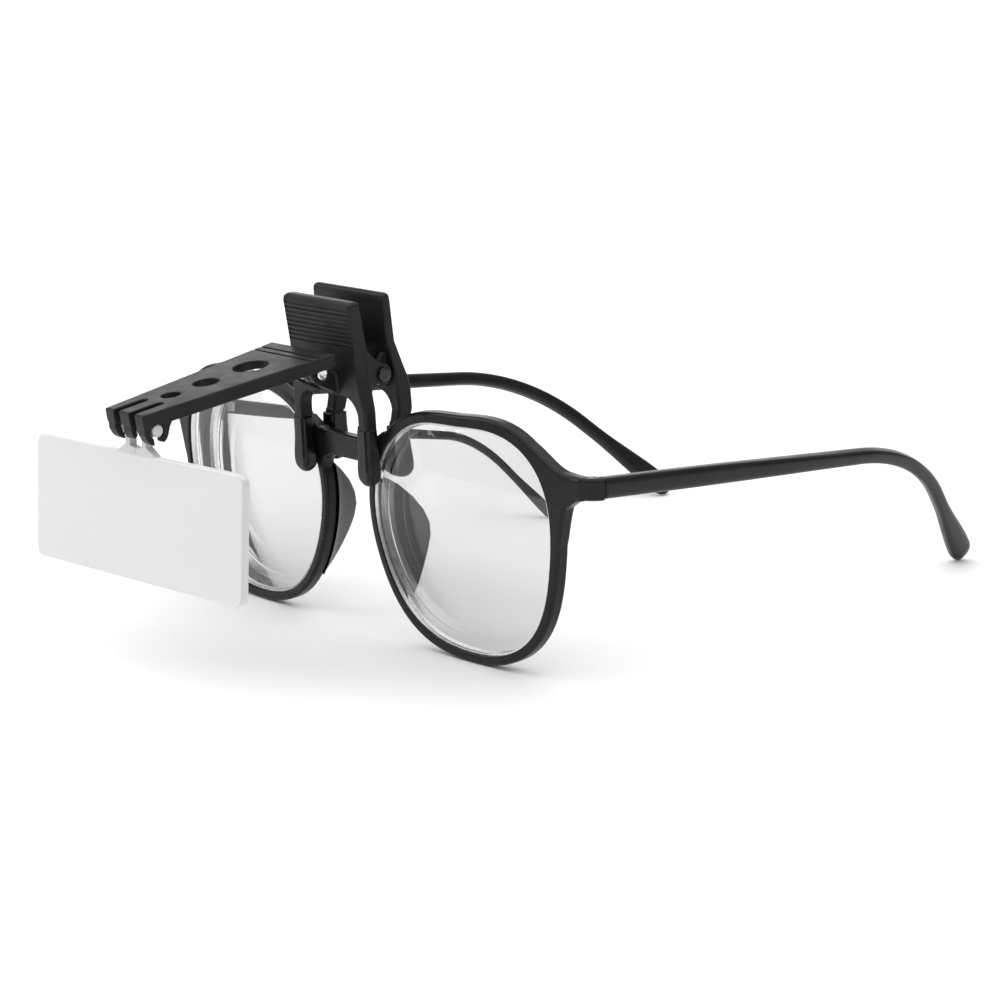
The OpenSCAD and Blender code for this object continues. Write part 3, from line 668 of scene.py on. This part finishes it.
def temple(side):
    """A temple: one rounded section swept along a straight, an ear bend and a tail."""
    arc = BEND_R * BEND
    length = TEMPLE_STRAIGHT + arc + TEMPLE_TAIL + TIP_H / 2
    bend_to = np.array([-math.sin(ROLL), 0, -math.cos(ROLL)])
    forward = np.array([0.0, 1, 0])
    around = np.radians(np.arange(0, 360, 6))

    def ring(d, shrink=0.0):
        turned = min(BEND, max(0.0, (d - TEMPLE_STRAIGHT) / BEND_R))
        along = math.cos(turned) * forward + math.sin(turned) * bend_to
        centre = min(d, TEMPLE_STRAIGHT) * forward + BEND_R * (
            math.sin(turned) * forward + (1 - math.cos(turned)) * bend_to)
        centre = centre + max(0.0, d - TEMPLE_STRAIGHT - arc) * along
        roll = ROLL * ease(d, 30, TEMPLE_STRAIGHT + 10)
        across = np.array([math.cos(roll), 0, -math.sin(roll)])
        up = np.cross(across, along)
        tip = math.sqrt(max(0.0004, 1 - (max(0.0, d - length + TIP_ROUND) / TIP_ROUND) ** 2))
        slim = ease(d, *TAPER)
        flare = ease(d, length - TIP_FLARE[0], length - TIP_FLARE[1])
        high = TEMPLE_H + (BEND_H - TEMPLE_H) * slim + (TIP_H - BEND_H) * flare
        thick = TEMPLE_T + (BEND_T - TEMPLE_T) * slim
        u = (tip * thick / 2 - shrink) * np.sign(np.cos(around)) * np.abs(np.cos(around)) ** TEMPLE_SECTION
        v = (tip * high / 2 - shrink) * np.sign(np.sin(around)) * np.abs(np.sin(around)) ** TEMPLE_SECTION
        points = centre + u[:, None] * across + v[:, None] * up
        if d < 2:
            points[:, 1] -= (u * math.tan(TOE) + v * math.sin(PITCH)) / math.cos(PITCH)
        return points

    stations = list(np.arange(0.15, 2, 0.6)) + list(np.arange(3, length - TIP_ROUND, 1.2))
    stations += [length - TIP_ROUND * (1 - math.sin(a)) for a in np.radians(range(0, 91, 6))]
    rings = [ring(0, 0.15)] + [ring(d) for d in stations]
    name = "temple_left" if side < 0 else "temple_right"
    faces = [f[::-1] for f in skin(rings)]
    obj = new_object(name + "_arm", np.concatenate(rings), faces, mirrored(side) @ TEMPLE, sharp=50)
    finish_piece(obj, name, name, FRAME_PLASTIC)


def knuckle(x, y, z, low, high):
    """A barrel round the hinge screw."""
    barrel = np.hypot(x - HINGE[0], y - HINGE[1])
    return cut(meet(barrel - KNUCKLE_R, span(z, low, high), 0.12), barrel - SCREW_R - 0.06, 0.05)


def hinge_front_shape(x, y, z):
    """The hinge leaf on the front: a plate with two knuckles and a rivet head."""
    y0, y1 = LAND_Y + PLAY, LAND_Y + PLAY + LEAF_T
    d = block(x, y, z, (61.8, y0, 10.6), (65.8, y1, 13.8), 0.15)
    for low in (KNUCKLE_LOW, KNUCKLE_HIGH - KNUCKLE_SPLIT):
        d = join(d, block(x, y, z, (65.4, y0, low), (66.9, y1, low + KNUCKLE_SPLIT)), 0.15)
        d = join(d, knuckle(x, y, z, low, low + KNUCKLE_SPLIT), 0.1)
    rivet = np.hypot(x - 63.4, z - 12.2) - RIVET_R
    return join(d, meet(rivet, span(y, y0, y1 + RIVET_PROUD), 0.15))


def hinge_temple_shape(x, y, z):
    """The hinge leaf on the temple: one knuckle, a web, a plate along the temple and a rivet head."""
    low, high = KNUCKLE_LOW + KNUCKLE_SPLIT + 0.12, KNUCKLE_HIGH - KNUCKLE_SPLIT - 0.12
    web_x = HINGE[0] + SCREW_R
    web = block(x, y, z, (web_x + 0.1, HINGE[1] - 0.5, low), (web_x + 0.7, HINGE[1] + 2.2, high))
    m = np.array(TEMPLE.inverted())
    u, v, w = (m[k, 0] * x + m[k, 1] * y + m[k, 2] * z + m[k, 3] for k in range(3))
    face = -TEMPLE_T / 2 - PLAY
    leaf = block(u, v, w, (face - LEAF_T, 2.6, -1.3), (face, 10.1, 1.3), 0.15)
    rivet = meet(np.hypot(v - 7.4, w) - RIVET_R, span(u, face - LEAF_T - RIVET_PROUD, face), 0.15)
    return join(join(join(knuckle(x, y, z, low, high), web, 0.1), leaf, 0.15), rivet)


def screw_shape(x, y, z):
    """The hinge screw: a plain shank and a slotted head."""
    r = np.hypot(x - HINGE[0], y - HINGE[1])
    shank = meet(r - SCREW_R, span(z, KNUCKLE_LOW, KNUCKLE_HIGH + 0.1), 0.1)
    head = meet(r - SCREW_HEAD_R, span(z, KNUCKLE_HIGH + 0.02, KNUCKLE_HIGH + 0.52), 0.18)
    slot = np.maximum(np.abs(y - HINGE[1]) - 0.14, KNUCKLE_HIGH + 0.32 - z)
    return cut(join(shank, head), slot, 0.03)


def eyeglasses():
    """The front with its pads, lenses and hinges, and the two temples."""
    front = moulded("frame_front", front_shape, (-72.6, -0.6, -28), (72.6, 9.6, 24.3), 0.25)
    finish_piece(front, "glasses_front", "front_frame", FRAME_PLASTIC)
    for side, word in ((-1, "left"), (1, "right")):
        place = mirrored(side)
        pad = moulded("pad_" + word, pad_shape, (5, 2.8, -19.5), (22, 12, 8), 0.2, place)
        finish_piece(pad, "glasses_front", "nose_pad_" + word, FRAME_PLASTIC)
        hinge = moulded("hinge_a_" + word, hinge_front_shape, (61, 5, 9.9), (69, 9.2, 14.6), 0.1, place)
        finish_piece(hinge, "glasses_front", "hinge_front_" + word, HINGE_METAL)
        leaf = moulded("hinge_b_" + word, hinge_temple_shape, (65.5, 5.9, 9.5), (69.5, 17.4, 15.3), 0.1, place)
        finish_piece(leaf, "temple_" + word, "hinge_temple_" + word, HINGE_METAL)
        screw = moulded("screw_" + word, screw_shape, (65.9, 6.1, 10.1), (68.5, 8.7, 14.8), 0.07, place)
        finish_piece(screw, "glasses_front", "hinge_screw_" + word, HINGE_METAL)
        lens(side)
        temple(side)


# ---------------------------------------------------------------- clip
# The jaws seen from the side, as Y and Z.
FRONT_SIDE = [(-3.2, 15), (-3.2, 20), (-3.6, 25), (-4, 33.6), (-5, 42.2), (-4.8, 43.2), (-4.1, 43.8), (-2.6, 43.8),
              (-1.95, 43.2), (-1.2, 37.4), (-0.6, 33.6), (-0.4, 28), (-0.2, 22), (-0.2, 15)]
REAR_SIDE = [(4.5, 15), (4.9, 17), (5.6, 20), (5.6, 26), (5.4, 28), (4.6, 32), (3.9, 34), (3.6, 37), (3.4, 43),
             (3.5, 43.9), (3.9, 44.6), (4.7, 44.6), (5.1, 44), (5.3, 42.6), (5.85, 34.5), (6.4, 33), (7.5, 30),
             (8.8, 26.6), (9.2, 24), (9.2, 20), (8.2, 17), (7.8, 15)]


def ribbed(d, x, y, z, half, ribs):
    """Cuts the finger grooves into the leaning outer face of a grip."""
    at_y, at_z, tilt, low, high = ribs
    c, s = math.cos(tilt), math.sin(tilt)
    across = c * (y - at_y) + s * (z - at_z)
    along = c * (z - at_z) - s * (y - at_y) - GROOVE_W / 2
    nearest = np.clip(np.round(along / GROOVE_PITCH), 0, GROOVES - 1)
    groove = brick(across - (low + high) / 2, along - nearest * GROOVE_PITCH, (high - low) / 2, GROOVE_W / 2, 0.08)
    return cut(d, meet(groove, np.abs(x) - half + GROOVE_INSET, 0.15), 0.12)


def jaw_front(x, z, grip_half, top, low):
    """A jaw seen from the front: a grip, an arch below it and two legs."""
    x = np.abs(x)
    half = np.interp(z, SHOULDER, (LEG_OUT, grip_half))
    plate = meet(meet(x - half, z - top, GRIP_CORNER), low - z)
    return cut(plate, meet(x - LEG_IN, z - ARCH_TOP, ARCH_R))


def boss(x, y, z, low, high, pivot, r, web):
    """An ear or lug: a disc round a pivot with a web back to the body, between two x values."""
    flat = join(np.hypot(y - pivot[0], z - pivot[1]) - r, polygon(y, z, web), 0.4)
    return meet(flat, span(np.abs(x), low, high), 0.22)


def pin_hole(y, z, pivot, r):
    """The bore for a pin of radius r."""
    return np.hypot(y - pivot[0], z - pivot[1]) - r - PIN_CLEARANCE


def front_jaw_shape(x, y, z):
    """The front jaw: ribbed grip, arch, two legs, ears for the jaw pin and lugs for the arm pin."""
    d = meet(polygon(y, z, FRONT_SIDE), jaw_front(x, z, FRONT_GRIP_HALF, FRONT_GRIP_TOP, FRONT_JAW_LOW), 0.6)
    d = ribbed(d, x, y, z, FRONT_GRIP_HALF, FRONT_RIBS)
    d = join(d, boot_foot(x, y, z, FRONT_BOOT, FRONT_BOOT_D, FRONT_BOOT_H), 0.1)
    ear = boss(x, y, z, FRONT_EAR_IN, FRONT_GRIP_HALF, JAW_PIVOT, EAR_R,
               [(-1.2, 23.8), (1.2, 26.4), (2.8, 28), (2.6, 30.3), (1.2, 31.4), (-1.2, 33.8)])
    lug = boss(x, y, z, *LUG_X, ARM_PIVOT, LUG_R,
               [(-10.2, 27.8), (-3.4, 24.2), (-3.6, 28.3), (-6.9, 29), (-9, 29.6)])
    d = join(join(d, ear, 0.4), lug, 0.6)
    d = cut(d, pin_hole(y, z, JAW_PIVOT, JAW_PIN_R), 0.08)
    return cut(d, pin_hole(y, z, ARM_PIVOT, ARM_PIN_R), 0.08)


def boot_foot(x, y, z, boot, deep, height):
    """The foot of a leg inside its boot."""
    m = np.array(boot.inverted())
    v = m[1, 1] * y + m[1, 2] * z + m[1, 3]
    w = m[2, 1] * y + m[2, 2] * z + m[2, 3]
    low = (LEG_IN, (deep - FOOT_D) / 2, FOOT_LOW)
    high = (LEG_OUT, (deep + FOOT_D) / 2, height + 0.8)
    return block(np.abs(x), v, w, low, high, 0.2)


def rear_jaw_shape(x, y, z):
    """The rear jaw: ribbed grip, arch, two legs and ears for the jaw pin."""
    d = meet(polygon(y, z, REAR_SIDE), jaw_front(x, z, REAR_GRIP_HALF, REAR_GRIP_TOP, REAR_JAW_LOW), 0.5)
    d = ribbed(d, x, y, z, REAR_GRIP_HALF, REAR_RIBS)
    d = join(d, boot_foot(x, y, z, REAR_BOOT, REAR_BOOT_D, REAR_BOOT_H), 0.1)
    ear = boss(x, y, z, *REAR_EAR_X, JAW_PIVOT, EAR_R,
               [(2.8, 28), (4.2, 26), (6.2, 24.5), (6, 32), (4.2, 32), (2.6, 30.3)])
    d = join(d, ear, 0.4)
    return cut(d, pin_hole(y, z, JAW_PIVOT, JAW_PIN_R), 0.08)


def round_foot(u, z, half):
    """Distance to a strip of half width half with a rounded lower end at Z = 0."""
    below = np.minimum(z - BOOT_END, 0) * half / BOOT_END
    return np.hypot(u, below) - half


def boot_shape(deep, height):
    """The surface of a rubber boot of a given depth and height, with the pocket for the leg's foot."""
    def shape(x, y, z):
        slim = BOOT_BULGE * (1 - np.exp(-((z - 4) / 3) ** 2))
        across = round_foot(x - (LEG_IN + LEG_OUT) / 2, z, BOOT_W / 2 - slim)
        along = round_foot(y - deep / 2, z, deep / 2 - slim)
        d = meet(meet(across, along, 1.0), z - height, 0.3)
        low = (LEG_IN - PLAY, (deep - FOOT_D) / 2 - PLAY, FOOT_LOW - PLAY)
        high = (LEG_OUT + PLAY, (deep + FOOT_D) / 2 + PLAY, height + 3)
        return cut(d, block(x, y, z, low, high, 0.1), 0.1)
    return shape


def lathe(name, profile, place, body, node, material):
    """A turned part along X from pairs of distance along the axis and radius."""
    around = np.radians(np.arange(0, 360, 7.5))
    rings = [np.stack([np.full_like(around, s), r * np.cos(around), r * np.sin(around)], 1) for s, r in profile]
    obj = new_object(name, np.concatenate(rings), skin(rings), place, sharp=35)
    finish_piece(obj, body, node, material)


def pin_profile(half, r, head_r, head):
    """A plain pin of a half length and radius, with a low domed head at each end."""
    dome = [(half - 0.32 * head * (1 - math.sin(a)), head_r * (0.3 + 0.7 * math.cos(a)))
            for a in np.radians(range(90, -1, -15))]
    right = dome + [(half - head + 0.08, head_r), (half - head, head_r - 0.08), (half - head, r)]
    left = [(-s, q) for s, q in right]
    return left + right[::-1]


def tube(name, path, radius, place, body, node, material):
    """Round wire along a path, with rounded ends."""
    path = np.asarray(path, float)
    tangent = np.gradient(path, axis=0)
    tangent /= np.linalg.norm(tangent, axis=1)[:, None]
    side = np.cross(tangent[0], (0.3, 0.5, 0.8))
    around = np.radians(np.arange(0, 360, 30))
    rings = []
    for k, (p, t) in enumerate(zip(path, tangent)):
        side = side - t * side.dot(t)
        side /= np.linalg.norm(side)
        other = np.cross(t, side)
        r = radius * (0.6 if k in (0, len(path) - 1) else 1)
        rings.append(p + r * (np.cos(around)[:, None] * side + np.sin(around)[:, None] * other))
    obj = new_object(name, np.concatenate(rings), skin(rings), place, sharp=60)
    finish_piece(obj, body, node, material)


def spring_path(turns, start, first, last):
    """A torsion spring along X: a straight end, side by side turns and another straight end."""
    steps = 28
    a = np.arange(turns * steps + 1) / steps * 2 * math.pi + start
    x = (np.arange(len(a)) / steps - turns / 2) * WIRE_PITCH
    coil = np.stack([x, COIL_R * np.cos(a), COIL_R * np.sin(a)], 1)
    into = [coil[0] + np.array(first) * t for t in np.linspace(1, 0, 9)[:-1]]
    out = [coil[-1] + np.array(last) * t for t in np.linspace(0, 1, 9)[1:]]
    return into + list(coil) + out


def clip():
    """The two jaws with their boots, pins and springs."""
    front = moulded("jaw_front", front_jaw_shape, (-12.4, -11.7, 6.8), (12.4, 5.6, 44.3), 0.16)
    finish_piece(front, "clip", "front_jaw", CLIP_PLASTIC)
    rear = moulded("jaw_rear", rear_jaw_shape, (-12.4, 0.1, 7.8), (12.4, 9.6, 45), 0.16)
    finish_piece(rear, "rear_jaw", "rear_jaw", CLIP_PLASTIC)
    for side, word in ((-1, "left"), (1, "right")):
        for place, deep, height, body, which in ((FRONT_BOOT, FRONT_BOOT_D, FRONT_BOOT_H, "clip", "front"),
                                                 (REAR_BOOT, REAR_BOOT_D, REAR_BOOT_H, "rear_jaw", "rear")):
            boot = moulded(f"boot_{which[0]}_{word}", boot_shape(deep, height), (8.4, -0.4, -0.4),
                           (12.9, deep + 0.4, height + 0.5), 0.13, mirrored(side) @ place)
            finish_piece(boot, body, f"boot_{which}_{word}", RUBBER)
    jaw_place, arm_place = placed((0, *JAW_PIVOT)), placed((0, *ARM_PIVOT))
    lathe("pin_jaw", pin_profile(*JAW_PIN), jaw_place, "clip", "jaw_pin", PIN_BLACK)
    lathe("pin_arm", pin_profile(*ARM_PIN), arm_place, "clip", "arm_pin", PIN_STEEL)
    tube("spring_jaw", spring_path(8, math.pi, (0, -0.9, 6.3), (0, -0.55, 4.2)), WIRE_R, jaw_place,
         "clip", "jaw_spring", SPRING_STEEL)
    tube("spring_arm", spring_path(5, -math.pi / 2, (0, 4.4, 0.9), (0, 0.9, 4.0)), WIRE_R, arm_place,
         "clip", "arm_spring", SPRING_STEEL)


# ---------------------------------------------------------------- arm and magnifier
def arm_plan(x, y, inset):
    """The arm's tapered outline from above, drawn in by inset."""
    rear, front = ARM_REAR_HALF - inset, ARM_FRONT_HALF - inset
    return polygon(x, y, [(-rear, -inset), (rear, -inset), (front, -ARM_LEN), (-front, -ARM_LEN)])


def arm_shape(x, y, z):
    """The arm: a tapered channel with holes, two slots, a tongue, two hooks and two ears."""
    d = meet(arm_plan(x, y, 0), span(z, -ARM_SKIRT, 0), 0.45)
    hollow = np.maximum(np.maximum(arm_plan(x, y, ARM_WALL), -ARM_HOLLOW_END - y), z + ARM_T)
    gap = np.maximum(np.maximum(np.abs(x) - 4.35, span(y, -3, 2)), z + ARM_T)
    d = cut(cut(d, hollow, 0.25), gap, 0.2)
    slot = brick(np.abs(x) - SLOT[1], y + ARM_LEN + 2, SLOT[0], SLOT[2], 0.9)
    d = cut(d, slot, 0.25)
    hook = boss(x, y, z, *HOOK_X, ARM_BAR, HOOK_R, [(-43.8, -4.2), (-43.8, -1.5), (-36, -1.5), (-38.4, -4.4)])
    ear = boss(x, y, z, *ARM_EAR_X, ARM_EAR, LUG_R, [(-3.1, -4.5), (-4.2, -1.4), (-0.3, -1.4), (1.2, -3.9)])
    bar = np.hypot(y - ARM_BAR[0], z - ARM_BAR[1])
    tongue = np.maximum(bar - TONGUE_R,
                        polygon(y, z, [(-44, 0), (-40, 0), (-40.4, -4.02), (-41.04, -4.02), (-43.9, -6)]))
    d = join(join(join(d, hook, 0.25), ear, 0.4), meet(tongue, np.abs(x) - TONGUE_HALF, 0.2), 0.25)
    bore = bar - BAR_R - MAG_PLAY
    d = cut(d, np.maximum(bore - 0.1, np.abs(x) - HOOK_X[0]))
    d = cut(d, bore, 0.08)
    mouth = np.maximum(np.abs(y - ARM_BAR[0]) - HOOK_MOUTH, span(z, ARM_BAR[1] - 4, ARM_BAR[1]))
    d = cut(d, mouth, 0.12)
    d = cut(d, pin_hole(y, z, ARM_EAR, ARM_PIN_R), 0.08)
    for diameter, along in ARM_HOLES:
        d = cut(d, np.hypot(x, y + along) - diameter / 2, 0.22)
    for along in ARM_LINES:
        d = cut(d, brick(y + along, z, 0.25, 0.4, 0.1), 0.1)
    return d


def magnifier_stem(x, y, z):
    """The cross bar and the two legs that carry the magnifying lens."""
    bar = meet(np.hypot(y, z) - BAR_R, np.abs(x) - BAR_HALF, 0.3)
    leg = polygon(np.abs(x), z, [(1.9, 0), (3.4, 0), (3.4, -3.4), (7, -5.5), (0, -5.5), (0, -3.9), (1.9, -3.6)])
    return join(meet(leg, np.abs(y) - MAG_STEM_T / 2, 0.2), bar, 0.3)


def magnifier_plate():
    """The rectangular lens: a curved front, a flat back and rounded edges, as rings and two caps."""
    middle = -MAG_TOP - MAG_H / 2
    turn = np.radians([90 * quarter + a for quarter in range(4) for a in range(0, 91, 10)])
    out = np.stack([np.cos(turn), np.sin(turn)])
    to_right = np.repeat((1, -1, -1, 1), len(turn) // 4)
    to_top = np.repeat((1, 1, -1, -1), len(turn) // 4)
    x = to_right * (MAG_W / 2 - MAG_CORNER) + MAG_CORNER * out[0]
    z = to_top * (MAG_H / 2 - MAG_CORNER) + MAG_CORNER * out[1]

    def front(u, w):
        return MAG_BACK - MAG_T + (u * u + w * w) / (2 * MAG_FRONT_R)

    def ring(shrink, inward, depth, domed):
        u, w = (x - inward * out[0]) * shrink, (z - inward * out[1]) * shrink
        y = front(u, w) + depth if domed else np.full_like(u, MAG_BACK - depth)
        return np.stack([u, y, w + middle], 1)

    turns = np.radians(np.arange(0, 91, 15))
    bevel = [(MAG_BEVEL * (1 - math.sin(a)), MAG_BEVEL * (1 - math.cos(a))) for a in turns]
    rings = [ring(t, MAG_BEVEL, 0, True) for t in np.linspace(0.05, 0.98, 16)]
    rings += [ring(1, inward, depth, True) for inward, depth in bevel]
    rings += [ring(1, inward, depth, False) for inward, depth in bevel[::-1]]
    rings += [ring(t, MAG_BEVEL, 0, False) for t in np.linspace(0.98, 0.05, 16)]
    return np.concatenate(rings), skin(rings)


def magnifier():
    """The magnifier: the stem and the lens as one mesh."""
    low, high, step = (-6.6, -1.6, -5.9), (6.6, 1.6, 1.6), 0.12
    verts, quads = surface_net(magnifier_stem, low, high, step)
    verts, _ = settle(magnifier_stem, verts, step)
    plate, faces = magnifier_plate()
    faces = [tuple(len(verts) + i for i in face) for face in faces]
    obj = new_object("magnifier_body", np.concatenate([verts, plate]), quads.tolist() + faces, MAGNIFIER, sharp=40)
    finish_piece(obj, "magnifier", "magnifier", MAG_MILKY)


def arm_and_magnifier():
    arm = moulded("arm_body", arm_shape, (-10.8, -44.5, -7.2), (10.8, 1.7, 0.4), 0.16, ARM)
    finish_piece(arm, "arm", "arm", CLIP_PLASTIC)
    magnifier()


# ---------------------------------------------------------------- camera, floor and light
# The camera in the glasses' own frame, in millimetres.
CAMERA_AT = (445.915, -335.603, 141.781)
AZIMUTH = math.radians(49.804731)
ELEVATION = math.radians(14.37877)
CAMERA_ROLL = math.radians(-2.96557)
SENSOR_MM = 36.0
FOCAL_MM = 100.4
WORLD_STRENGTH = 0.3
SUN_STRENGTH = 2.65
SUN_ANGLE = math.radians(100)
SUN_TILT = (math.radians(6), math.radians(4), 0)
# Each area light as name, place, width and height in metres, and power in watts.
LIGHT_TARGET = (0, -0.04, 0.03)
AREA_LIGHTS = (("key", (-0.8, -0.75, 0.5), (0.45, 0.4), 2.6),
               ("side", (0.75, -0.1, 0.45), (0.3, 0.3), 0.4),
               ("backdrop", (-0.85, 0.72, 0.38), (1.5, 0.6), 3.4))
FLOOR_HALF = 20.0
FLOOR_Z = -0.00002


def camera():
    """The photo's viewpoint."""
    back = Vector((math.sin(AZIMUTH) * math.cos(ELEVATION), -math.cos(AZIMUTH) * math.cos(ELEVATION),
                   math.sin(ELEVATION)))
    level = Vector((math.cos(AZIMUTH), math.sin(AZIMUTH), 0))
    up = back.cross(level)
    right = math.cos(CAMERA_ROLL) * level + math.sin(CAMERA_ROLL) * up
    top = back.cross(right)
    turn = Matrix((right, top, back)).transposed().to_4x4()
    data = bpy.data.cameras.new("camera")
    data.sensor_width = SENSOR_MM
    data.lens = FOCAL_MM
    data.clip_start = 0.01
    data.clip_end = 100
    obj = bpy.data.objects.new("camera", data)
    world = SEAT @ Matrix.Translation(CAMERA_AT) @ turn
    world.translation = world.translation / 1000
    obj.matrix_world = world
    bpy.context.scene.collection.objects.link(obj)
    bpy.context.scene.camera = obj


def area_light(name, at, size, power):
    """A rectangular soft light aimed at the object."""
    data = bpy.data.lights.new(name, "AREA")
    data.shape = "RECTANGLE"
    data.size, data.size_y = size
    data.energy = power
    obj = bpy.data.objects.new(name, data)
    obj.location = at
    obj.rotation_euler = (Vector(LIGHT_TARGET) - Vector(at)).to_track_quat("-Z", "Y").to_euler()
    bpy.context.scene.collection.objects.link(obj)


def studio():
    """A plain pale floor, an even sky, a broad sun overhead and three soft area lights."""
    corners = [(FLOOR_HALF * i, FLOOR_HALF * j, FLOOR_Z) for i, j in ((-1, -1), (1, -1), (1, 1), (-1, 1))]
    mesh = bpy.data.meshes.new("floor")
    mesh.from_pydata(corners, [], [(0, 1, 2, 3)])
    floor = bpy.data.objects.new("floor", mesh)
    floor.data.materials.append(floor_material())
    bpy.context.scene.collection.objects.link(floor)
    world = bpy.data.worlds.new("studio")
    world.use_nodes = True
    background = world.node_tree.nodes["Background"]
    background.inputs["Color"].default_value = (1, 1, 1, 1)
    background.inputs["Strength"].default_value = WORLD_STRENGTH
    bpy.context.scene.world = world
    sun = bpy.data.lights.new("sun", "SUN")
    sun.energy = SUN_STRENGTH
    sun.angle = SUN_ANGLE
    overhead = bpy.data.objects.new("sun", sun)
    overhead.rotation_euler = SUN_TILT
    bpy.context.scene.collection.objects.link(overhead)
    for light in AREA_LIGHTS:
        area_light(*light)
    bpy.context.scene.view_settings.view_transform = "Standard"


eyeglasses()
clip()
arm_and_magnifier()
camera()
studio()

bpy.context.view_layer.update()
